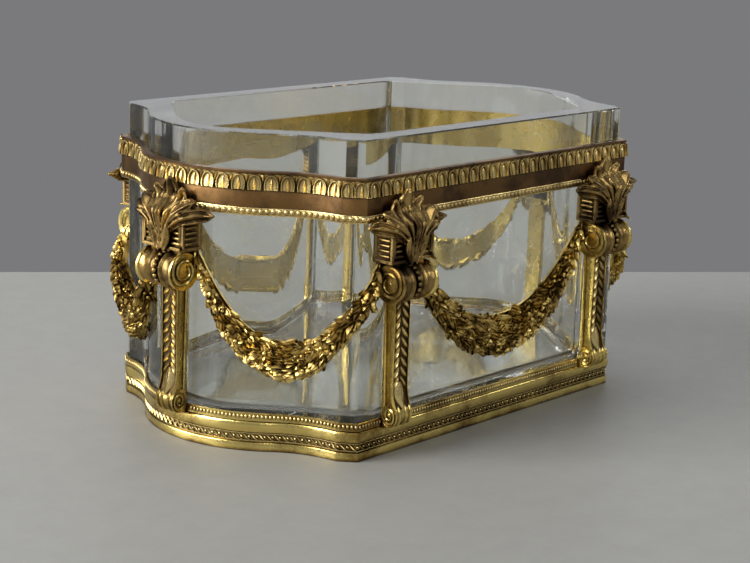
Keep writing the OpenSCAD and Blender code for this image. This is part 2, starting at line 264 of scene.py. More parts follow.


# %% [markdown]
# ## Dressing a piece
# Each finished piece moves with a body of the part and takes its finish, and
# the imported solid that it takes the place of is hidden.

# %% Dress a piece
def dressed(piece, coat, body, slot, *nodes):
    """Gives a piece its finish and its body, and hides the solids it stands for. The slot is not used."""
    piece.data.materials.clear()
    piece.data.materials.append(coat)
    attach(piece, body)
    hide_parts(*nodes)
    piece.data.calc_loop_triangles()
    print(piece.name, len(piece.data.loop_triangles), "triangles")
    return piece


# %% [markdown]
# ## Finishes
# A finish starts from what the real surface is. Colours are written as sRGB
# hex values, and one function turns them to the linear values of the shader.

# %% Colour and node helpers
def linear(code):
    """The linear value of an sRGB hex colour, with full alpha."""
    parts = [int(code[i:i + 2], 16) / 255 for i in (1, 3, 5)]
    return [c / 12.92 if c <= 0.04045 else ((c + 0.055) / 1.055) ** 2.4 for c in parts] + [1]


def add(tree, kind, settings=None, **inputs):
    """Adds a node. A socket given as an input is linked, and a value is set."""
    made = tree.nodes.new(kind)
    for key, value in (settings or {}).items():
        setattr(made, key, value)
    for key, value in inputs.items():
        socket = made.inputs[int(key[1:])] if key[0] == "i" and key[1:].isdigit() else made.inputs[key]
        if isinstance(value, bpy.types.NodeSocket):
            tree.links.new(value, socket)
        else:
            socket.default_value = value
    return made


def finish(name):
    """A new finish: the material, its nodes, its shader and the place on the object."""
    made = bpy.data.materials.new(name)
    made.use_nodes = True
    tree = made.node_tree
    return made, tree, tree.nodes["Principled BSDF"], add(tree, "ShaderNodeTexCoord").outputs["Object"]


print("hex 80 as a linear value:", round(linear("#808080")[0], 3))

# %% [markdown]
# ### Gilt bronze
# Cast bronze is chased with small punches and then fire gilt with gold and
# mercury. The gold stays bright where hands and cloths reach it. Wax, dust and
# old lacquer turn the hollows brown. The colour also darkens with how closely
# nearby metal hems a point in, which paints the shade of hollows and gaps.
# A finer noise stands for the matt chasing between the burnished lights.

# %% Gilt bronze finishes
WEAR_MM = 26
HOLLOW_DULLER = 0.22


def gilt_bronze(name, light, mid, deep, rough, matt_mm, matt, worn, reach):
    """matt_mm and matt are the grain and depth of the chasing, worn is how uneven the
    gold has become, and reach is how far away, in metres, metal shades a hollow."""
    made, tree, shader, where = finish(name)
    # The occlusion of nearby metal darkens the colour: painted shade in hollows and gaps, which also stands
    # for dirt
    hollow = add(tree, "ShaderNodeAmbientOcclusion", {"samples": 6}, Distance=reach).outputs["AO"]
    wear = add(tree, "ShaderNodeTexNoise", Vector=where, Scale=1 / (WEAR_MM * MM), Detail=5.0,
               Roughness=0.62).outputs["Fac"]
    grain = add(tree, "ShaderNodeTexNoise", Vector=where, Scale=1 / (matt_mm * MM), Detail=3.0).outputs["Fac"]
    spread = add(tree, "ShaderNodeMapRange", Value=wear, i1=0.36, i2=0.66, i3=-worn, i4=worn * 0.6)
    bright = add(tree, "ShaderNodeMath", {"operation": "ADD"}, i0=hollow, i1=spread.outputs[0]).outputs[0]
    ramp = add(tree, "ShaderNodeValToRGB", Fac=bright)
    stops = ramp.color_ramp.elements
    stops[0].position, stops[0].color = 0.28, linear(deep)
    stops[1].position, stops[1].color = 0.97, linear(light)
    stops.new(0.66).color = linear(mid)
    tree.links.new(ramp.outputs["Color"], shader.inputs["Base Color"])
    dull = add(tree, "ShaderNodeMapRange", Value=bright, i1=0.1, i2=1.0, i3=rough + HOLLOW_DULLER, i4=rough)
    mixed = add(tree, "ShaderNodeMath", {"operation": "MULTIPLY_ADD"}, i0=grain, i1=0.12, i2=dull.outputs[0])
    tree.links.new(mixed.outputs[0], shader.inputs["Roughness"])
    bump = add(tree, "ShaderNodeBump", Height=grain, Strength=matt, Distance=0.0002)
    tree.links.new(bump.outputs["Normal"], shader.inputs["Normal"])
    shader.inputs["Metallic"].default_value = 1.0
    return made


# Burnished castings: base, consoles and lips, with long soft lights
burnished_gilt = gilt_bronze("burnished_gilt_bronze", "#F0D680", "#8A6C36", "#24180C", 0.16, 1.2, 0.22,
                             0.35, 0.002)
# Small repeated ornament: bright crowns, and gaps painted nearly black as shade
struck_gilt = gilt_bronze("struck_gilt_bronze", "#F2D892", "#977B48", "#1C1409", 0.2, 0.7, 0.3, 0.25, 0.0011)
# Chased leafage: brighter ridges, hollows brown with dirt and painted shade, a broken sparkle
chased_gilt = gilt_bronze("chased_gilt_bronze", "#EBCD7A", "#A08344", "#45331A", 0.25, 0.9, 0.4, 0.35, 0.0014)
# Acanthus leaves, handled most, with much of the gold gone brown; on the console blocks the same finish is
# painted shade
wear_and_shade_gilt = gilt_bronze("wear_and_shade_gilt_bronze", "#B3945A", "#4A3822", "#120B06", 0.22, 1.0, 0.45, 0.45, 0.0016)
# Plain frieze and rim: a rubbed red-brown patina that keeps little gold
patinated = gilt_bronze("patinated_bronze", "#7A5B36", "#56412A", "#3A2B1B", 0.32, 0.7, 0.3, 0.5, 0.001)
# Flat grounds behind small ornament, painted dark as the shade between the ornament so that it stands out
ground_shade = gilt_bronze("painted_shade_bronze_ground", "#54432A", "#382C1B", "#19120A", 0.4, 0.6, 0.3, 0.3, 0.001)
print("gilt bronze finishes made")

# %% [markdown]
# The backs of the castings face the crystal, where no hand or dust reaches.
# They were filed flat and gilt and never darkened, so they shine through the glass
# as clean gold. The brown and the painted shade of the hollows would be wrong there.

# %% Clean gilding of the backs
STROKE_MM = 9
clean_gilt, tree, shader, where = finish("clean_gilt_bronze")
strokes = add(tree, "ShaderNodeTexNoise", Vector=where, Scale=1 / (STROKE_MM * MM), Detail=6.0, Roughness=0.6)
tone = add(tree, "ShaderNodeMix", {"data_type": "RGBA"}, Factor=strokes.outputs["Fac"], i6=linear("#DDB44A"),
           i7=linear("#F8E08C"))
tree.links.new(tone.outputs[2], shader.inputs["Base Color"])
satin = add(tree, "ShaderNodeMapRange", Value=strokes.outputs["Fac"], i1=0.3, i2=0.7, i3=0.32, i4=0.22)
tree.links.new(satin.outputs[0], shader.inputs["Roughness"])
bump = add(tree, "ShaderNodeBump", Height=strokes.outputs["Fac"], Strength=0.12, Distance=0.0003)
tree.links.new(bump.outputs["Normal"], shader.inputs["Normal"])
shader.inputs["Metallic"].default_value = 1.0
print("clean gilding made")

ledge_z = 3.8


def touched(piece, coat, chosen):
    """Gives the faces for which chosen(face) is true another finish."""
    piece.data.materials.append(coat)
    slot, count = len(piece.data.materials) - 1, 0
    for face in piece.data.polygons:
        if chosen(face):
            face.material_index = slot
            count += 1
    print(piece.name, "faces in", coat.name, count)


def at_the_crystal(face):
    """A face that looks at the crystal, or carries it."""
    inward = -Vector((face.center.x, face.center.y, 0)).normalized()
    carries = face.normal.z > 0.9 and abs(face.center.z - ledge_z * MM) < 0.01 * MM
    return face.normal.dot(inward) > 0.55 or carries


def lined(piece):
    """Gives a casting the clean gilding where it faces the crystal."""
    touched(piece, clean_gilt, at_the_crystal)


# %% [markdown]
# ### Browned steel
# The small fixing screws of the frieze are steel, darkened in the fire.

# %% Browned steel finish
RUST_MM = 0.8
browned_steel, tree, shader, where = finish("browned_steel")
rust = add(tree, "ShaderNodeTexNoise", Vector=where, Scale=1 / (RUST_MM * MM), Detail=4.0).outputs["Fac"]
tint = add(tree, "ShaderNodeMix", {"data_type": "RGBA"}, Factor=rust, i6=linear("#2A211A"),
           i7=linear("#4A3626"))
tree.links.new(tint.outputs[2], shader.inputs["Base Color"])
shader.inputs["Metallic"].default_value = 1.0
shader.inputs["Roughness"].default_value = 0.5
print("browned steel made")

# %% [markdown]
# ### Lead crystal
# Lead crystal is clear and a little denser in the eye than window glass, with
# an index near 1.54. It is cut and polished, so it has no roughness, and only
# the flat rim keeps a trace of the grinding. Faint waves from polishing by
# hand bend the reflections very slightly.

# %% Lead crystal finishes
POLISH_WAVE_MM = 45
CLEAR_SHARE = 0.06


def cut_crystal(name, rough):
    made, tree, shader, where = finish(name)
    waves = add(tree, "ShaderNodeTexNoise", Vector=where, Scale=1 / (POLISH_WAVE_MM * MM),
                Detail=1.0).outputs["Fac"]
    bump = add(tree, "ShaderNodeBump", Height=waves, Strength=0.15, Distance=0.001)
    tree.links.new(bump.outputs["Normal"], shader.inputs["Normal"])
    shader.inputs["Base Color"].default_value = linear("#FBFDFB")
    shader.inputs["Roughness"].default_value = rough
    shader.inputs["IOR"].default_value = 1.54
    shader.inputs["Transmission Weight"].default_value = 1.0
    # Light goes round inside a thick cut body many times; a clear share stands
    # for the part of it that is not traced
    clear = add(tree, "ShaderNodeBsdfTransparent")
    both = add(tree, "ShaderNodeMixShader", Fac=CLEAR_SHARE, i1=shader.outputs[0], i2=clear.outputs[0])
    out = next(node for node in tree.nodes if node.type == "OUTPUT_MATERIAL")
    tree.links.new(both.outputs[0], out.inputs["Surface"])
    return made


crystal = cut_crystal("cut_lead_crystal", 0.0)
# The flat rim is ground last and polished least
ground_crystal = cut_crystal("finely_ground_lead_crystal", 0.12)
print("crystal finish made")

# %% [markdown]
# ## The crystal body
# A thick moulded blank is ground to the plan, its cavity is ground out, and
# all faces are polished. The outer arrises carry a small bevel, and the walls
# turn in to the floor with a cove. It is one sweep: rings climb the outside,
# cross the rim and go down into the cavity, and the end faces close it.

# %% The crystal body
wall_side, wall_end, cav_turn, cav_end_r, cav_corner_r = 11.5, 9.4, 38.0, 36.0, 12.0
cav_w = half_w - wall_side
cav_end_c = Vector((half_end - wall_end - cav_end_r, 0))
n = turned(cav_turn)
cav_t = (cav_w - cav_end_r * n.y) / n.x
cav_corner = cav_end_c + cav_end_r * n + cav_t * Vector((-n.y, n.x))
cav_fc = Vector((cav_corner.x - cav_corner_r * math.tan(math.radians((90 - cav_turn) / 2)),
                 cav_w - cav_corner_r))


def cavity_quarter(s):
    """The cavity's outline moved in by s, with as many points as the plan has."""
    points = [Vector((cav_fc.x * i / SIDE_STEPS, cav_w - s)) for i in range(SIDE_STEPS + 1)]
    for i in range(1, HOLLOW_STEPS + 2):
        points.append(cav_fc + (cav_corner_r - s) * turned(90 + (cav_turn - 90) * i / (HOLLOW_STEPS + 1)))
    for i in range(BOW_STEPS + 1):
        points.append(cav_end_c + (cav_end_r - s) * turned(cav_turn * (1 - i / BOW_STEPS)))
    return points


glass_foot, glass_top, cav_floor, cove, bevel, COVE_STEPS = ledge_z, 136.8, 14.8, 6.0, 0.6, 8
rings = [level(all_round(quarter(d)), z) for d, z in
         [(-0.8, glass_foot), (0, glass_foot + 0.8), (0, glass_top - bevel), (-bevel, glass_top)]]
rings += [level(all_round(cavity_quarter(s)), z) for s, z in [(-0.5, glass_top), (0, glass_top - 0.5)]]
for i in range(COVE_STEPS + 1):
    a = math.radians(90 * i / COVE_STEPS)
    line = cavity_quarter(cove * (1 - math.cos(a)))
    rings.append(level(all_round(line), cav_floor + cove * (1 - math.sin(a))))
body = smoothed(swept("crystal_body", rings), 20)
dressed(body, crystal, "vessel", "crystal", "crystal_vessel")
touched(body, ground_crystal, lambda face: face.normal.z > 0.9 and face.center.z > 0.99 * glass_top * MM)

# %% [markdown]
# ## The base ring
# One casting holds the crystal's foot: a plain fillet on the table, a sunk
# ground for the interlace, a half round torus and a thin gallery wall. Its
# section is drawn once and swept round the plan, like a plaster run mould.

# %% The base ring
torus = [(0.9 + 0.8 * math.sin(math.radians(a)), 10.7 - 2.5 * math.cos(math.radians(a)))
         for a in range(0, 181, 20)]
profile = [(-4.5, 0), (1.1, 0), (1.3, 0.25), (1.3, 3.3), (1.1, 3.75), (0.75, 3.9), (0.8, 4.3), (1.0, 4.6),
           (0.6, 4.75), (0.6, 8.0)] + torus + [(1.0, 13.35), (1.3, 13.5), (1.3, 16.8), (1.1, 17), (0.7, 17),
           (0.5, 16.8), (0.5, 3.8), (-4.5, 3.8)]
base = smoothed(moulding("base_casting", profile), 35)
dressed(base, burnished_gilt, "frame", "gilt_bronze", "base_ring")
lined(base)

# %% [markdown]
# ## Interlace of the base
# The narrow band shows a running S with a pearl in each bend, about one every
# 3.3 mm. One S is swept along a short curve and one pearl is set beside it.
# There are more than two hundred, so each has only a few dozen faces.

# %% One S and one pearl, and the band
pitch, band_mid, band_half, strand_r, ESS_STEPS = 3.3, 6.4, 1.45, 0.36, 8
path = []
for i in range(ESS_STEPS + 1):
    t = i / ESS_STEPS * 2 - 1
    path.append(Vector((pitch * 0.62 * t, 1.0, band_mid + band_half * math.sin(t * math.pi * 0.5))))
rings = []
for i, p in enumerate(path):
    way = (path[min(i + 1, ESS_STEPS)] - path[max(i - 1, 0)]).normalized()
    side = Vector((-way.z, 0, way.x)) * strand_r
    rings.append([p + side, p + Vector((0, 0.4, 0)), p - side, p - Vector((0, 0.5, 0))])
ess = swept("ess", rings)
fresh()
bpy.ops.mesh.primitive_ico_sphere_add(subdivisions=1, radius=0.72 * MM)
pearl = bpy.context.object
pearl.data.transform(Matrix.Translation((pitch * 0.5 * MM, 0.8 * MM, band_mid * MM)))
ess = joined("ess", [ess, pearl])
band = set_out("interlace", ess, places(0, pitch))
edges = [moulding("interlace_edge", [(0.8, z), (1.25, z), (1.25, z + 0.35), (0.8, z + 0.35)])
         for z in (4.62, 7.83)]
band = smoothed(joined("interlace_band", [band] + edges), 60)
discard(ess)
dressed(band, struck_gilt, "frame", "chased_gilt_bronze", "guilloche_band")

# %% [markdown]
# ## Pearls of the gallery
# A row of small half round pearls runs along the gallery wall and stops at the
# foot of each console.

# %% Pearls on the gallery wall
fresh()
bpy.ops.mesh.primitive_uv_sphere_add(segments=8, ring_count=5, radius=1)
pearl = bpy.context.object
gallery_out, gallery_mid, gallery_pitch = 1.3, 15.4, 1.75
foot_room, foot_depth = 6.2, 8


def clear_of_feet(spot):
    for name in consoles:
        near = at_console(name).inverted() @ spot.to_translation() / MM
        if abs(near.x) < foot_room and abs(near.y) < foot_depth:
            return False
    return True


small = Matrix.Translation((0, 0.05 * MM, gallery_mid * MM)) \
    @ Matrix.Diagonal((0.72 * MM, 0.68 * MM, 0.95 * MM, 1))
row = set_out("gallery_pearls", pearl, [spot @ small for spot in places(gallery_out, gallery_pitch)
                                        if clear_of_feet(spot)])
smoothed(row, 80)
dressed(row, struck_gilt, "frame", "chased_gilt_bronze", "base_bead_row")

# %% [markdown]
# ## The top band
# The frieze is a plain rolled and filed band of bronze. It is rebated above,
# where the cast strip of leaf tips is let in, and the rim fillet covers both.
# Below, a thin lip carries a row of pearls.

# %% Frieze, rim fillet and lip
frieze_foot, leaf_foot, strip_top, rim_top = 103, 113.8, 120.4, 121.6
profile = [(0.5, frieze_foot), (3.1, frieze_foot), (3.3, 103.2), (3.3, 113.3), (3.1, leaf_foot),
           (2.0, leaf_foot), (2.0, strip_top), (0.5, strip_top)]
frieze = smoothed(moulding("frieze", profile), 30)
dressed(frieze, patinated, "frame", "patinated_bronze", "frieze_band")
lined(frieze)

profile = [(0.5, strip_top), (3.3, strip_top), (3.6, 120.65), (3.6, 121.1), (3.2, 121.5), (2.6, rim_top),
           (0.5, rim_top)]
rim = smoothed(moulding("rim_moulding", profile), 35)
dressed(rim, patinated, "frame", "patinated_bronze", "rim_fillet")
lined(rim)

lip_out, lip_mid, lip_pitch = 3.55, 104.9, 2.61
profile = [(3.3, frieze_foot), (3.7, frieze_foot), (3.85, 103.2), (3.85, 103.5), (3.6, 103.7), (3.6, 105.9),
           (3.4, 106.2), (3.3, 106.2)]
lip = moulding("pearl_lip", profile)
big = Matrix.Translation((0, 0, lip_mid * MM)) @ Matrix.Diagonal((1.08 * MM, 0.75 * MM, 1.05 * MM, 1))
pearls = set_out("pearls", pearl, [spot @ big for spot in places(lip_out, lip_pitch)])
edging = smoothed(joined("pearl_edging", [lip, pearls]), 50)
dressed(edging, struck_gilt, "frame", "chased_gilt_bronze", "bead_edging")
discard(pearl)

# %% [markdown]
# ## Leaf tips under the rim
# The strip under the rim is a row of upright leaves, each with a raised edge,
# a hollow and a middle rib, and a dart stands between two leaves. The raised
# edge is a small rounded bar swept along an arch that is open at its foot. The
# leaf leans outwards at its foot, as the hollow moulding behind it does.

# %% One leaf tip and the strip
leaf_high, leaf_pitch, strip_out = 6.6, 7.07, 4.0


def lean(z):
    """Distance outside the crystal of the strip's face at height z."""
    t = (z - leaf_foot) / leaf_high
    return strip_out - 0.9 * math.sin(t * math.pi / 2) + 0.15 * t


arch = [(-2.45, 0), (-2.75, 1.6), (-2.7, 3.2), (-2.15, 4.7), (-1.2, 5.7), (0, 6.1),
        (1.2, 5.7), (2.15, 4.7), (2.7, 3.2), (2.75, 1.6), (2.45, 0)]
ring_in, ring_out = 0.42, 0.38
rings = []
for i, (x, z) in enumerate(arch):
    ahead, behind = Vector(arch[min(i + 1, len(arch) - 1)]), Vector(arch[max(i - 1, 0)])
    way = (ahead - behind).normalized()
    rings.append([Vector((x - way.y * w, y, z + way.x * w)) for w, y in
                  ((-ring_in, -0.2), (-0.12, 0.75), (0.16, 0.75), (ring_out, -0.2))])
edge = swept("edge", rings)
rib = swept("rib", [[Vector((x * w, y * h, z)) for x, y in ((-1, 0), (-0.3, 0.8), (0.3, 0.8), (1, 0))]
                    for z, w, h in ((0.0, 0.5, 0.9), (2.6, 0.75, 1.0), (4.2, 0.5, 0.7), (5.0, 0.1, 0.2))])
dart = swept("dart", [[Vector((leaf_pitch / 2 + x * w, y * h, z)) for x, y in ((-1, 0), (0, 0.8), (1, 0))]
                      for z, w, h in ((0.0, 0.2, 0.8), (2.8, 0.3, 0.8), (4.6, 0.62, 1.0), (6.3, 0.9, 0.6))])
tip = joined("leaf_tip", [edge, rib, dart])
for v in tip.data.vertices:
    v.co.y += (lean(leaf_foot + v.co.z / MM) - strip_out + 0.1) * MM
    v.co.z += leaf_foot * MM
tips = set_out("leaf_tips", tip, places(strip_out, leaf_pitch))
steps = [(lean(leaf_foot + leaf_high * i / 5), leaf_foot + leaf_high * i / 5) for i in range(6)]
ground = moulding("leaf_ground", [(2.0, leaf_foot)] + steps + [(2.0, strip_top)])
strip = smoothed(joined("leaf_tip_strip", [ground, tips]), 35)
discard(tip)
dressed(strip, struck_gilt, "frame", "chased_gilt_bronze", "leaf_tip_moulding")

# %% [markdown]
# ## The consoles
# Six consoles tie the top band to the base. Each is one casting: a block with
# ribbed panels, a large volute, a pilaster shaft with husks, and a small volute
# at the foot. It is modelled once in its own frame, with x along the wall,
# y out from the crystal and z up, and then copied to its six places.

# %% A box, a sunk panel, a bevel and a rod
def box_piece(name, low, high):
    """A cube primitive stretched between two corners in mm."""
    fresh()
    bpy.ops.mesh.primitive_cube_add(size=1)
    piece = bpy.context.object
    low, high = Vector(low), Vector(high)
    for v in piece.data.vertices:
        v.co = Vector([(low[i] + high[i]) / 2 + v.co[i] * (high[i] - low[i]) for i in range(3)]) * MM
    piece.name = piece.data.name = name
    return piece


SLOPE_MM = 0.35


def sink_faces(piece, facing, frame_mm, depth_mm):
    """Frames each face that looks the given way, and sinks its middle."""
    take(piece)
    bpy.ops.object.mode_set(mode="EDIT")
    bpy.ops.mesh.select_all(action="DESELECT")
    bm = bmesh.from_edit_mesh(piece.data)
    for f in bm.faces:
        if f.normal.dot(Vector(facing)) > 0.9:
            f.select_set(True)
    bmesh.update_edit_mesh(piece.data)
    bpy.ops.mesh.inset(thickness=frame_mm * MM, depth=0)
    bpy.ops.mesh.inset(thickness=SLOPE_MM * MM, depth=-depth_mm * MM)
    bpy.ops.object.mode_set(mode="OBJECT")


def bevelled(piece, width_mm, angle=40):
    mod = piece.modifiers.new("arris", "BEVEL")
    mod.width, mod.segments, mod.limit_method = width_mm * MM, 1, "ANGLE"
    mod.angle_limit = math.radians(angle)
    take(piece)
    bpy.ops.object.modifier_apply(modifier=mod.name)
    return piece


def rod(name, start, end, radius, points=10):
    """A round rib between two points in mm, with domed ends."""
    start, end = Vector(start), Vector(end)
    way = (end - start).normalized()
    a = way.orthogonal().normalized()
    b = way.cross(a)
    rings = []
    for at, r in ((start, 0.5), (start + way * radius * 0.4, 0.9), (start + way * radius, 1),
                  (end - way * radius, 1), (end - way * radius * 0.4, 0.9), (end, 0.5)):
        rings.append([at + (a * math.cos(t) + b * math.sin(t)) * radius * r
                      for t in [2 * math.pi * i / points for i in range(points)]])
    return swept(name, rings)


# %% The ribbed block
block_foot, block_head, block_half, block_out = 86.0, 103.0, 13.0, 11.3
rib_rows, rib_start, rib_step, rib_r, rib_in = 6, 2.9, 2.25, 0.78, 1.0
block = box_piece("block", (-block_half, 0.6, block_foot), (block_half, block_out, block_head))
for facing in ((0, 1, 0), (1, 0, 0), (-1, 0, 0)):
    sink_faces(block, facing, 1.2, 1.1)
bevelled(block, 0.2)
parts = [block]
for i in range(rib_rows):
    z = block_foot + rib_start + rib_step * i
    parts.append(rod("rib", (-11.0, block_out - rib_in, z), (11.0, block_out - rib_in, z), rib_r))
    for side in (-1, 1):
        x = side * (block_half - rib_in)
        parts.append(rod("rib", (x, 2.6, z), (x, 9.6, z), rib_r))
block = joined("block", parts)
print("block with ribs:", len(block.data.polygons), "faces")

# %% [markdown]
# ### Volutes
# A volute is a waisted drum that ends in a spiral. The spiral ridge is swept
# along a curve that tightens as it turns, and a domed eye closes it.

# %% Drum, spiral and eye
def drum(name, c, r, sections, points=36):
    """A turned drum along x about c = (y, z), with radius shares at places in x."""
    turns = [2 * math.pi * i / points for i in range(points)]
    return swept(name, [[Vector((x, c[0] + r * share * math.cos(a), c[1] + r * share * math.sin(a)))
                         for a in turns] for x, share in sections])


def spiral(name, c, side, face, r0, r1, start, turns, thick, high, steps=34):
    """A half round ridge on the end face at x = side * face, about c = (y, z)."""
    rings = []
    for i in range(steps + 1):
        t = i / steps
        a = math.radians(start + 360 * turns * t)
        r = r0 + (r1 - r0) * t ** 0.8
        w = thick * (1 - 0.45 * t)
        h = high * min(1, 0.4 + 5 * t)
        rings.append([Vector((side * (face + out * h), c[0] + (r + across * w) * math.cos(a),
                              c[1] + (r + across * w) * math.sin(a)))
                      for across, out in ((-1, -0.5), (-0.75, 0.6), (0, 1), (0.75, 0.6), (1, -0.5))])
    return swept(name, rings)


def eye(name, c, side, face, r, high):
    """A dome on the end face at x = side * face, about c = (y, z)."""
    fresh()
    bpy.ops.mesh.primitive_uv_sphere_add(segments=14, ring_count=8, radius=1)
    piece = bpy.context.object
    piece.data.transform(Matrix.Translation(Vector((side * face, c[0], c[1])) * MM)
                         @ Matrix.Diagonal((high * MM, r * MM, r * MM, 1)))
    piece.name = name
    return piece


# %% A scroll, and the large volute with its string of beads
def scroll(c, r, half, cheek, ridge, boss, points=36):
    """A waisted drum about c, with a cheek, a spiral ridge and an eye at both ends.
    half and cheek are (x, radius share), and ridge and boss start with their x."""
    sections = [(-x, share) for x, share in half] + [(x, share) for x, share in half[::-1]]
    made = [drum("drum", c, r, sections, points)]
    for side in (-1, 1):
        made.append(drum("cheek", c, r, [(side * x, share) for x, share in cheek], points))
        made.append(spiral("spiral", c, side, *ridge))
        made.append(eye("eye", c, side, *boss))
    return made


volute_c, volute_r = (8.6, 77.1), 8.3
waist = ((10.7, 0.84), (11.1, 0.97), (10.4, 1.0), (9.7, 0.97), (9.3, 0.87), (8.2, 0.83), (6.2, 0.83),
         (5.1, 0.87), (4.6, 0.97), (3.9, 1.0), (3.2, 0.95), (2.7, 0.82), (1.8, 0.78))
cheek = ((9.7, 0.9), (10.3, 0.9), (9.9, 0.5), (9.3, 0.1))
parts = scroll(volute_c, volute_r, waist, cheek, (10.4, 7.1, 2.7, 95, -1.9, 1.15, 1.15), (9.8, 1.9, 1.0))
fresh()
bpy.ops.mesh.primitive_ico_sphere_add(subdivisions=2, radius=1.2 * MM)
bead = bpy.context.object
string_r = 7.0
spots = []
for i in range(9):
    a = math.radians(-80 + 20 * i)
    at = Vector((0, volute_c[0] + string_r * math.cos(a), volute_c[1] + string_r * math.sin(a)))
    spots.append(Matrix.Translation(at * MM))
parts.append(set_out("string", bead, spots))
volute = joined("volute", parts)
print("volute:", len(volute.data.polygons), "faces")

# %% [markdown]
# ### Shaft, husks and foot
# The shaft flares at its foot and runs into the small volute. Its front is
# sunk inside a narrow border, and two rows of drooping husks fill it. Its
# sides are sunk too, and their border runs round the foot as the first turn
# of the spiral.

# %% The shaft and its borders
shaft_half = 5.0
front = [(6.9, 76), (7.0, 60), (7.0, 46), (7.0, 33), (7.2, 29.5), (7.7, 26.4), (8.5, 23.8), (9.3, 21.8)]
ground_in = 0.9
outline = [(1.0, 15.5), (1.0, 78.0)] + [(y - ground_in, z) for y, z in front] + [(8.2, 20.5), (7.0, 18.0)]
shaft = swept("shaft", [[Vector((x, y, z)) for y, z in outline] for x in (-shaft_half, shaft_half)])
for side in (-1, 1):
    sink_faces(shaft, (side, 0, 0), 0.9, 0.22)
bevelled(shaft, 0.12, 50)
borders = []
for side in (-1, 1):
    borders.append(swept("border", [[Vector((side * (4.75 + x), y + out, z)) for x, out in
                                     ((-0.35, -1.3), (-0.25, -0.1), (0, 0.1), (0.25, -0.1), (0.35, -1.3))]
                                    for y, z in front]))
print("shaft:", len(shaft.data.polygons), "faces")


# %% Husks down the shaft
def husk_leaf(name, stations):
    """A pointed leaf along z with a crease: stations are (z, half width, y, ridge)."""
    section = ((-1, -0.5), (-0.55, 0.45), (-0.12, 0.9), (0, 0.55), (0.12, 0.9), (0.55, 0.45), (1, -0.5))
    return swept(name, [[Vector((across * w, y + out * ridge, z)) for across, out in section]
                        for z, w, y, ridge in stations])


husk = husk_leaf("husk", ((0, 0.35, -0.2, 0.5), (-1.3, 0.85, 0.1, 1.0), (-3.4, 1.05, 0.3, 1.2),
                          (-5.0, 0.8, 0.35, 1.0), (-6.3, 0.15, 0.2, 0.4)))
husk_rows, husk_top, husk_step, husk_x, husk_lean = 10, 74.0, 4.3, 0.55, 34
spots = []
for i in range(husk_rows):
    z = husk_top - husk_step * i
    for side in (-1, 1):
        spots.append(Matrix.Translation(Vector((side * husk_x, 7.0 - ground_in, z)) * MM)
                     @ Matrix.Rotation(math.radians(side * -husk_lean), 4, "Y"))
husks = set_out("husks", husk, spots)
low_leaf = husk_leaf("low_leaf", ((33.0, 1.4, 6.1, 0.9), (30.6, 2.9, 6.5, 1.2), (28.0, 3.5, 6.9, 1.3),
                                  (25.4, 2.6, 7.6, 1.2), (23.0, 1.2, 8.5, 1.0), (21.4, 0.3, 9.0, 0.5)))
print("husks on a shaft:", len(spots))

# %% The foot scroll, with the edges that run into it
foot_c, foot_r = (5.5, 18.6), 5.3
waist = ((5.6, 0.8), (6.0, 0.95), (5.4, 1.0), (4.8, 0.95), (4.4, 0.84), (3.4, 0.84), (3.0, 0.95), (2.4, 1.0),
         (1.8, 0.95), (1.4, 0.84), (0.4, 0.84))
cheek = ((5.1, 0.9), (5.5, 0.9), (5.2, 0.4), (5.0, 0.1))
foot = scroll(foot_c, foot_r, waist, cheek, (5.6, 4.5, 1.5, 180, 1.5, 0.9, 0.7, 28), (5.3, 1.25, 0.7), 28)
# The scroll is a little taller than it is deep, and no wider than the shaft
oval = Matrix.Translation((0, foot_c[0] * MM, 0)) @ Matrix.Diagonal((0.88, 0.85, 1, 1)) \
    @ Matrix.Translation((0, -foot_c[0] * MM, 0))
for piece in foot:
    piece.data.transform(oval)
for side in (-1, 1):
    foot.append(rod("edge", (side * shaft_half, 3.0, 22.4), (side * shaft_half, 1.6, 76), 0.6, 6))
heel = box_piece("heel", (-shaft_half, 0.6, 13.3), (shaft_half, foot_c[0], 19.5))
print("pieces of the foot:", len(foot) + 1)

# %% [markdown]
# ### One casting and six copies
# The parts are joined to one casting, which is copied to its six places. On a
# real one the husks are struck. Here the ground behind them is painted dark as
# their shade, the block and the waist of the volute take the darker finish as
# painted shade, and the shaft's sides take the clean gilding as a painted
# highlight. A face's place on the casting tells its finish.

# %% The console's extra finishes, by place in mm and normal in its own frame
# The sides of the shaft take the bright clean gilding as a painted highlight
def lit_shaft_side(p, normal, area):
    return 22 < p.z < 69 and 4.5 < abs(p.x) < 5.2 and abs(normal.x) > 0.8


def on_husk_panel(p, normal, area):
    return 21.4 < p.z < 69 and abs(p.x) < 4.25 and p.y > 4.9


def on_panel_ground(p, normal, area):
    """The one large face behind the husks, painted dark as their shade."""
    return 20 < p.z < 78 and abs(p.x) < 0.1 and 5.9 < p.y < 9 and normal.y > 0.5 and area > 10 * MM * MM


def in_shade(p, normal, area):
    """The block and the waist of the volute, given the darker finish as painted shade."""
    return p.z > block_foot or (68.5 < p.z < 86 and abs(p.x) < 9.2 and p.y > 3.4)


def seen_from(home, rule):
    """A test of a face by a rule, with the face brought to the console's frame."""
    return lambda face: rule(home @ face.center / MM, home.to_3x3() @ face.normal, face.area)


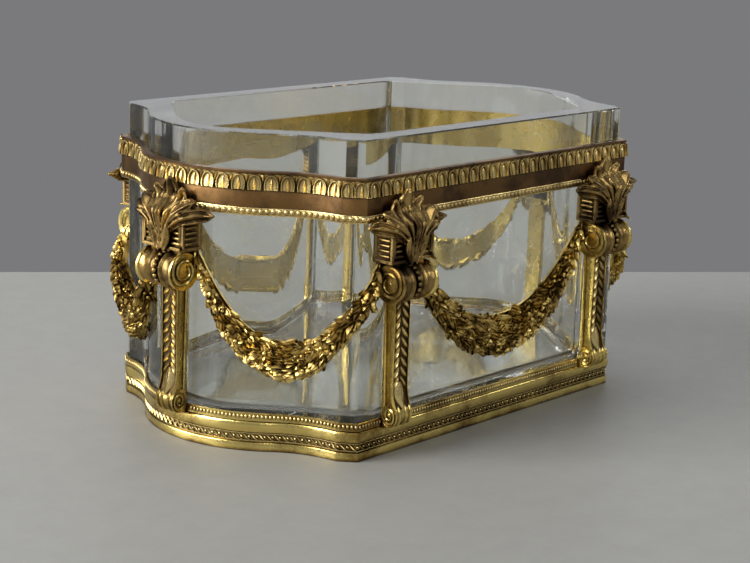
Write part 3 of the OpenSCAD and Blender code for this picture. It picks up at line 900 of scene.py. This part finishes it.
# %% The consoles
neck = bevelled(box_piece("neck", (-9.4, 0.6, 77.4), (9.4, 9.6, 86.5)), 0.6)
plate_half = 11.5
plate = bevelled(box_piece("plate", (-plate_half, 0.6, 76.4), (plate_half, 3.2, 86.2)), 0.3)
console = joined("console", [block, volute, shaft] + borders + [husks, low_leaf] + foot
                 + [heel, neck, plate])
smoothed(console, 42)
discard(husk, bead)
for name in consoles:
    copy = set_out("bracket_" + name, console, [at_console(name)])
    dressed(smoothed(copy, 42), burnished_gilt, "frame", "gilt_bronze", "console_" + name)
    lined(copy)
    home = at_console(name).inverted()
    # The shaft's sides get a painted highlight, and the ground behind the husks, the block and the volute's
    # waist get painted shade
    for coat, rule in ((clean_gilt, lit_shaft_side), (struck_gilt, on_husk_panel),
                       (ground_shade, on_panel_ground), (wear_and_shade_gilt, in_shade)):
        touched(copy, coat, seen_from(home, rule))
discard(console)

# %% [markdown]
# ## Acanthus leaves
# One leaf stands on the front of each block and laps over the frieze. A carver
# draws it as a few broad lobes that rise from a narrow stem. Each lobe has a
# middle vein, two side veins and a scalloped edge, and its tip curls forward.
# The lobes here are swept strips that follow the face of the block and of the
# frieze, and a voxel remesh then casts them together as one piece of metal.

# %% The ground that the lobes lie on
def ease(low, high, t):
    """0 below low, 1 above high, and a smooth rise between them."""
    t = min(1, max(0, (t - low) / (high - low)))
    return t * t * (3 - 2 * t)


on_frieze, on_block = 5.4, 11.9


def leaf_ground_at(u, z, drop):
    """Distance outside the crystal at which a lobe lies, at u along the wall."""
    back = on_frieze - drop(u)
    return back + (on_block - back) * (1 - ease(101.5, 109.0, z)) * (1 - ease(13.0, 21.0, abs(u)))


def straight_drop(u):
    return 0.0


def bowed_drop(u):
    """How far the bowed wall falls back from the plane of its console."""
    return ease(6, 20, abs(u)) * u * u / (2 * (bow_r + 4)) * 0.75


print("a lobe lies", leaf_ground_at(0, block_foot, straight_drop), "mm outside the crystal on the block")

# %% One lobe
# The section across a lobe has three ridges in front and a keel behind
veins = [(-1, -0.9), (-0.84, 0.3), (-0.46, -0.6), (-0.13, 0.95), (0.13, 0.95), (0.46, -0.6),
         (0.84, 0.3), (1, -0.9), (0, -1.9)]
# Start, bend and end as (u, z), half width, scallops, curl of the tip, lift
lobes = [
    ((0, 86), (0, 101), (0, 116.4), 5.0, 2, 1.0, 1.4),
    ((0.9, 86.4), (1.8, 101), (8.4, 112.4), 4.1, 2, 1.8, 0.9),
    ((1.2, 86.0), (2.9, 101.2), (16.0, 107.4), 3.7, 2, 2.2, 0.5),
    ((1.4, 85.5), (3.6, 102.0), (24.4, 102.2), 3.3, 3, 3.0, 0.0),
]
inner = [
    ((0, 86.5), (0, 96), (0, 110.5), 1.7, 1, 0.6, 2.5),
    ((1.4, 84.8), (5.2, 88.0), (5.6, 97.6), 1.3, 1, 1.2, 1.4),
]
# Low leaves that fill the gaps between the lobes, as the casting does
webs = [
    ((0, 87), (0, 97), (0, 108.5), 5.6, 1, 0.3, 0.1),
    ((1.4, 88), (3.2, 101), (17.5, 104.4), 3.2, 1, 0.5, -0.3),
]
VOXEL_MM = 0.34


def lobe(start, bend, end, half, scallops, curl, lift, side, drop, steps=22):
    """Sweeps the section of the veins along a curve that bends between its ends."""
    start, bend, end = Vector(start), Vector(bend), Vector(end)
    rings = []
    for i in range(steps + 1):
        t = i / steps
        at = start * (1 - t) ** 2 + bend * 2 * t * (1 - t) + end * t * t
        way = ((bend - start) * (1 - t) + (end - bend) * t).normalized()
        notch = 0.8 + 0.2 * abs(math.sin(math.pi * (scallops * t + 0.1))) ** 0.6
        wide = half * (0.24 + 0.76 * ease(0.1, 0.72, t)) * math.sqrt(1.04 - ease(0.76, 1.0, t) ** 2)
        rise = lift * (0.3 + 0.7 * ease(0.15, 0.7, t)) + curl * ease(0.6, 1.0, t) ** 1.3
        ring = []
        for across, out in veins:
            w = across * wide * (notch if abs(across) > 0.6 else 1)
            u, z = at.x - way.y * w, at.y + way.x * w
            y = leaf_ground_at(u, z, drop) + rise + out * min(1.5, wide * 0.75)
            ring.append(Vector((side * u, y, z)))
        rings.append(ring)
    return swept("lobe", rings)


# %% The flat and the bowed leaf, and the six copies
def acanthus(name, drop):
    parts = []
    for spec in lobes + inner + webs:
        # A lobe that starts in the middle stands alone, and the others are in pairs
        for side in ((1,) if spec[0][0] == 0 else (-1, 1)):
            parts.append(lobe(*spec, side, drop))
    leaf = joined(name, parts)
    mod = leaf.modifiers.new("cast", "REMESH")
    mod.mode, mod.voxel_size, mod.use_smooth_shade = "VOXEL", VOXEL_MM * MM, True
    bpy.ops.object.modifier_apply(modifier=mod.name)
    return leaf


straight_leaf = acanthus("leaf_straight", straight_drop)
bowed_leaf = acanthus("leaf_bowed", bowed_drop)
for name in consoles:
    leaf = bowed_leaf if name.startswith("end") else straight_leaf
    copy = set_out("leaf_" + name, leaf, [at_console(name)])
    dressed(smoothed(copy, 60), wear_and_shade_gilt, "frame", "chased_gilt_bronze", "acanthus_" + name)
discard(straight_leaf, bowed_leaf)

# %% [markdown]
# ## Garlands
# Swags of laurel, with flowers and berries, hang between the consoles. They
# are thin at the ends and full in the middle, and their backs are flat. A
# plain half round core is swept first. Then leaves are set on it in rows like
# tiles, each row lapping the next one towards the middle.

# %% The run of a garland
def wall_at(s):
    """Point and outward angle on the crystal, s from the middle of a long side."""
    run_facet = half_side + facet
    run_hollow = run_facet + shoulder
    run_bow = run_hollow + hollow_r * math.radians(bow_turn - phi)
    if s < half_side:
        return s, half_w, 90.0
    if s < run_facet:
        p = Vector((half_side, half_w)) + (s - half_side) * turned(-facet_turn)
        return p.x, p.y, 90 - facet_turn
    if s < run_hollow:
        p = corner + (s - run_facet) * turned(phi - 90)
        return p.x, p.y, phi
    if s < run_bow:
        a = phi + math.degrees((s - run_hollow) / hollow_r)
        p = hollow_c - hollow_r * turned(a)
        return p.x, p.y, a
    a = bow_turn - math.degrees((s - run_bow) / bow_r)
    p = bow_c + bow_r * turned(a)
    return p.x, p.y, a


def eased_at(s, reach):
    """The same, averaged over nine points near s, so that a garland turns softly."""
    near = [wall_at(s + k * reach / 4) for k in range(-4, 5)]
    return tuple(sum(p[j] for p in near) / 9 for j in range(3))


# A garland starts at a console's back plate, and hangs a little off the wall
plate_t, off_wall = 2.6, 1.6
end_r, swag_top, swag_fall, full_depth = 3.6, 82, 40.5, 8
side_reach = console_x - plate_half
corner_from = console_x + plate_half
corner_to = half_side + facet + shoulder + hollow_r * math.radians(bow_turn - phi) + bow_r * (
    math.radians(bow_turn) - math.asin(plate_half / (bow_r + off_wall)))


# A stop is the point and outward angle on the wall at t, from -1 to 1 along it
def side_stop(t):
    return -side_reach * t, half_w, 90.0


def corner_stop(t):
    share = (t + 1) / 2
    return eased_at(corner_from + (corner_to - corner_from) * share, 9 * min(1, 4 * share, 4 * (1 - share)))


# %% The shape of a garland
def swell_at(t):
    """How full a garland is at t: 0 at its two ends and 1 in the middle."""
    return (1 - min(1, abs(t)) ** 3) ** 0.6


def swag(stop, mid_r):
    """Gives the point on a garland's face at t along it and angle a round it.
    A flat distance from the back can be given instead of the swell."""
    def at(t, a, out=0.0, flat=None):
        x, y, angle = stop(t)
        swell = swell_at(t)
        h = end_r + (mid_r - end_r) * swell
        z = swag_top - swag_fall * (1 - abs(t) ** 2.2)
        depth = (plate_t + (full_depth - plate_t) * swell) * math.cos(a) + out
        w = off_wall + (depth if flat is None else flat)
        n = turned(angle)
        return Vector((x + w * n.x, y + w * n.y, z + (h + out) * math.sin(a)))
    return at


print("corner garland length along the wall:", round(corner_to - corner_from, 1), "mm")

# %% [markdown]
# ### Laurel leaf, flower and berry
# Three patterns dress every garland. The leaf is a short blade with a crease
# down its middle, the flower has five petals round a bead, and the berry is a
# bead. At the lowest point larger leaves cross where the two sprays meet.

# %% The three patterns
blade_section = ((-1, -0.3), (-0.5, 0.85), (0, 0.25), (0.5, 0.85), (1, -0.3), (0, -1.0))
# Place along the blade, half width and lift, all as shares of its length
blade_stations = ((0, 0.16, -0.05), (0.25, 0.3, 0.02), (0.6, 0.33, 0.05), (0.85, 0.2, 0.05),
                  (1.0, 0.05, 0.02))
blade = swept("blade", [[Vector((x, across * w, out * 0.2 + lift)) for across, out in blade_section]
                        for x, w, lift in blade_stations])
# A pattern is one unit long, and each copy is scaled to its own length
blade.data.transform(Matrix.Scale(1 / MM, 4))
round_petal = Matrix.Diagonal((1, 1.5, 1.3, 1))
petals = set_out("petals", blade, [Matrix.Rotation(math.radians(72 * i), 4, "Z") @ round_petal
                                   for i in range(5)])
fresh()
bpy.ops.mesh.primitive_ico_sphere_add(subdivisions=2, radius=1)
berry = bpy.context.object
centre = set_out("centre", berry, [Matrix.Translation((0, 0, 0.18)) @ Matrix.Scale(0.28, 4)])
flower = joined("flower", [petals, centre])
print("faces of blade, flower and berry:", [len(p.data.polygons) for p in (blade, flower, berry)])

# %% [markdown]
# ### Setting the leaves
# A chaser follows the swell of the garland, and no two leaves are alike. Each
# leaf here sits on the core's face, points towards the middle, and is turned
# and sized by a small random share. A fixed seed keeps the result the same.

# %% Places for the leaves, the flowers and the berries
LEAF_GAP, LEAF_ROW, BERRY_COUNT = 2.7, 0.047, 90


def on_swag(at, t, a, sink):
    """A local frame on the garland's face: x towards its middle, z outwards."""
    p = at(t, a)
    along = (at(t + 0.01, a) - at(t - 0.01, a)).normalized() * (-1 if t > 0 else 1)
    over = at(t, a + 0.02) - at(t, a - 0.02)
    n = along.cross(over).normalized()
    if n.dot(p - at(t, a, -1)) < 0:
        n = -n
    return Matrix.Translation((p - n * sink) * MM) @ Matrix((along, n.cross(along), n)).transposed().to_4x4()


def leaf_rows(at, mid_r, rng):
    """Rows of leaves from both ends, larger towards the middle."""
    spots, t = [], 0.985
    while t > 0.05:
        size, swell = 4.1 + 2.1 * (1 - t ** 2), swell_at(t)
        girth = math.pi * (end_r + (mid_r - end_r) * swell + off_wall + (full_depth - off_wall) * swell) / 2
        count = max(3, round(girth / LEAF_GAP))
        for half in (-1, 1):
            shift = rng.random()
            for j in range(count):
                a = math.radians(-84 + 160 * (j + shift) / count) + rng.uniform(-0.08, 0.08)
                tilt = Matrix.Rotation(rng.uniform(-0.8, 0.8), 4, "Z")
                tilt = tilt @ Matrix.Rotation(-rng.uniform(0.0, 0.2), 4, "Y")
                along = half * min(0.99, t + rng.uniform(-0.012, 0.012))
                long = size * MM * rng.uniform(0.8, 1.15)
                wide = size * MM * rng.uniform(0.7, 1.1)
                shape = Matrix.Diagonal((long, wide, size * MM * 1.4, 1))
                spots.append(on_swag(at, along, a, 1.5) @ tilt @ shape)
        t -= LEAF_ROW
    return spots


def crossing_leaves(at):
    """The larger leaves that cross at the lowest point."""
    spots = []
    for i, a in enumerate((1.1, 0.75, 0.4, 0.05, -0.3, -0.65, -0.95)):
        for half in (-1, 1):
            place = on_swag(at, half * (0.075 + 0.02 * (i % 2)), a + 0.12 * half, 1.3)
            spots.append(place @ Matrix.Rotation(half * 0.45, 4, "Z") @ Matrix.Rotation(-0.16, 4, "Y")
                         @ Matrix.Diagonal((8.0 * MM, 6.4 * MM, 8 * MM, 1)))
    return spots


def flower_spots(at, rng):
    spots = []
    for t, a in ((-0.5, 0.1), (-0.27, 0.3), (-0.24, -0.5), (0.25, 0.35), (0.28, -0.45), (0.52, -0.05)):
        place = on_swag(at, t + rng.uniform(-0.03, 0.03), a, 0.35)
        spots.append(place @ Matrix.Rotation(rng.random(), 4, "Z") @ Matrix.Scale(3.7 * MM, 4))
    return spots


def berry_spots(at, rng):
    spots = []
    for i in range(BERRY_COUNT):
        t, a = rng.uniform(-0.93, 0.93), rng.uniform(-1.3, 1.2)
        spots.append(on_swag(at, t, a, 0.2) @ Matrix.Scale(rng.uniform(0.7, 1.05) * MM, 4))
    return spots


# %% One garland on its core, and the six copies
def garland(name, stop, mid_r, seed):
    """The core has a flat back, and its face lies 1.5 mm under the leaves."""
    rng = random.Random(seed)
    at = swag(stop, mid_r)
    half_turn = math.pi / 2
    core = swept("core", [[at(t, -half_turn, -0.4, 0.0), at(t, -half_turn, -0.4, 1.1)]
                          + [at(t, math.radians(-75 + 150 * j / 10), -1.5) for j in range(11)]
                          + [at(t, half_turn, -0.1, 1.1), at(t, half_turn, -0.1, 0.0)]
                          for t in [-1 + 2 * i / 40 for i in range(41)]])
    leaves = set_out("leaves", blade, leaf_rows(at, mid_r, rng))
    sprigs = set_out("sprigs", blade, crossing_leaves(at))
    flowers = set_out("flowers", flower, flower_spots(at, rng))
    berries = set_out("berries", berry, berry_spots(at, rng))
    return joined(name, [core, leaves, sprigs, flowers, berries])


side_swag = garland("swag_side", side_stop, 9.0, 7)
corner_swag = garland("swag_corner", corner_stop, 7.6, 11)
# The pattern of each garland, and the side of the box that it is mirrored to
hangs = {
    "front": (side_swag, 1, -1), "back": (side_swag, 1, 1),
    "corner_front_left": (corner_swag, -1, -1), "corner_front_right": (corner_swag, 1, -1),
    "corner_back_left": (corner_swag, -1, 1), "corner_back_right": (corner_swag, 1, 1),
}
for name, (pattern, side_x, side_y) in hangs.items():
    copy = set_out("swag_" + name, pattern, [Matrix.Diagonal((side_x, side_y, 1, 1))])
    dressed(smoothed(copy, 50), chased_gilt, "frame", "chased_gilt_bronze", "garland_" + name)
    lined(copy)
discard(side_swag, corner_swag, blade, flower, berry)

# %% [markdown]
# ## Fixing screws
# Small screws hold the frieze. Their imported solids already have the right
# shape, so they stay as they are and only take the browned steel.

# %% The screws
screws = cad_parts["frieze_screws"]
screws.data.materials.clear()
screws.data.materials.append(browned_steel)
print("screws:", screws.name, browned_steel.name)

# %% [markdown]
# ## Camera
# The camera stands a little above the rim and looks at the corner between a
# bowed end and a long side. A long lens keeps the uprights almost parallel.

# %% Camera
camera = bpy.data.objects.new("camera", bpy.data.cameras.new("camera"))
bpy.context.scene.collection.objects.link(camera)
camera.data.sensor_width = 36
camera.data.lens = 85.23
# Its place in metres, the three ways of its view, and a slight roll in radians
stand, roll = (-0.61854, -0.55398, 0.24325), 0.034
forward = Vector((0.7263, 0.6495, -0.2250))
right, up = Vector((0.6666, -0.7454, 0)).normalized(), Vector((0.1677, 0.1500, 0.9744))
across = math.cos(roll) * right + math.sin(roll) * up
upward = math.cos(roll) * up - math.sin(roll) * right
turn = Matrix((across, upward, -forward)).transposed().to_4x4()
camera.matrix_world = Matrix.Translation(stand) @ turn
bpy.context.scene.camera = camera
bpy.context.scene.view_settings.view_transform = "Standard"
print("lens:", camera.data.lens, "mm")

# %% [markdown]
# ## Table and light
# The box stands on a plain pale table top that ends a hand's breadth behind
# it, in front of a plain grey room. Light Path gives the camera that grey, a
# paler one through the crystal, and a neutral one that lights the metal.
# One broad lamp at the side gives the long soft lights on the mouldings. Weaker
# lamps fill the shade. A low wide glow behind the box lights it and is mirrored
# by the metal, but the camera never sees it.

# %% Table top and world
fresh()
bpy.ops.mesh.primitive_plane_add(size=1, location=(0, 0, 0))
table = bpy.context.object
table.name = "table"
# The table's back edge runs along edge_way, back_edge metres behind the origin
edge_way, back_way = Vector((0.7727, -0.6347, 0)), Vector((0.6347, 0.7727, 0))
back_edge, reach = 0.2463, 2.6
for v in table.data.vertices:
    v.co = edge_way * reach * 2 * v.co.x + back_way * (back_edge if v.co.y > 0 else -reach)
SPECK_MM = 14
pale_top, tree, shader, where = finish("pale_table")
specks = add(tree, "ShaderNodeTexNoise", Vector=where, Scale=1 / (SPECK_MM * MM), Detail=6.0, Roughness=0.7)
tone = add(tree, "ShaderNodeMix", {"data_type": "RGBA"}, Factor=specks.outputs["Fac"], i6=linear("#8A8984"),
           i7=linear("#999893"))
tree.links.new(tone.outputs[2], shader.inputs["Base Color"])
shader.inputs["Roughness"].default_value = 0.5
shader.inputs["Specular IOR Level"].default_value = 0.2
table.data.materials.append(pale_top)

world = bpy.data.worlds.new("studio")
bpy.context.scene.world = world
world.use_nodes = True
tree = world.node_tree
rays = add(tree, "ShaderNodeLightPath").outputs
through = add(tree, "ShaderNodeMix", {"data_type": "RGBA"}, Factor=rays["Is Transmission Ray"],
              i6=linear("#7C7F84"), i7=linear("#A3A3A0"))
room = add(tree, "ShaderNodeMix", {"data_type": "RGBA"}, Factor=rays["Is Camera Ray"], i6=through.outputs[2],
           i7=linear("#7A7A7C"))
tree.links.new(room.outputs[2], tree.nodes["Background"].inputs["Color"])
print("the table ends", back_edge, "m behind the middle of the box")


# %% Lamps
def softbox(name, at, size, power, aim=(0, 0, 0.07)):
    """A lamp with a rectangular face in metres that looks at the box."""
    lamp = bpy.data.objects.new(name, bpy.data.lights.new(name, "AREA"))
    lamp.data.shape = "RECTANGLE"
    lamp.data.size, lamp.data.size_y = size
    lamp.data.energy = power
    lamp.location = at
    lamp.rotation_euler = (Vector(at) - Vector(aim)).to_track_quat("Z", "Y").to_euler()
    bpy.context.scene.collection.objects.link(lamp)
    print(name, power, "W")
    return lamp


softbox("side_lamp", (-1.4, 0.55, 0.85), (1.0, 1.2), 36)
softbox("front_lamp", (0.5, -1.6, 0.8), (0.4, 0.9), 3)
softbox("accent_lamp", (1.45, -1.04, 0.98), (0.3, 0.3), 2)
softbox("window_lamp", (-1.25, -1.35, 0.95), (0.55, 0.75), 7)
softbox("low_lamp", (-1.25, 1.1, 0.3), (0.5, 0.5), 6)
glow = softbox("backdrop_glow", (1.55, 1.35, 0.35), (2.4, 0.8), 3, (0, 0, 0.1))
glow.visible_camera = glow.visible_transmission = False
softbox("back_lamp", (1.15, 0.95, 1.0), (1.3, 0.9), 4)
softbox("top_lamp", (0.1, 0.2, 1.5), (0.8, 0.8), 4.5)
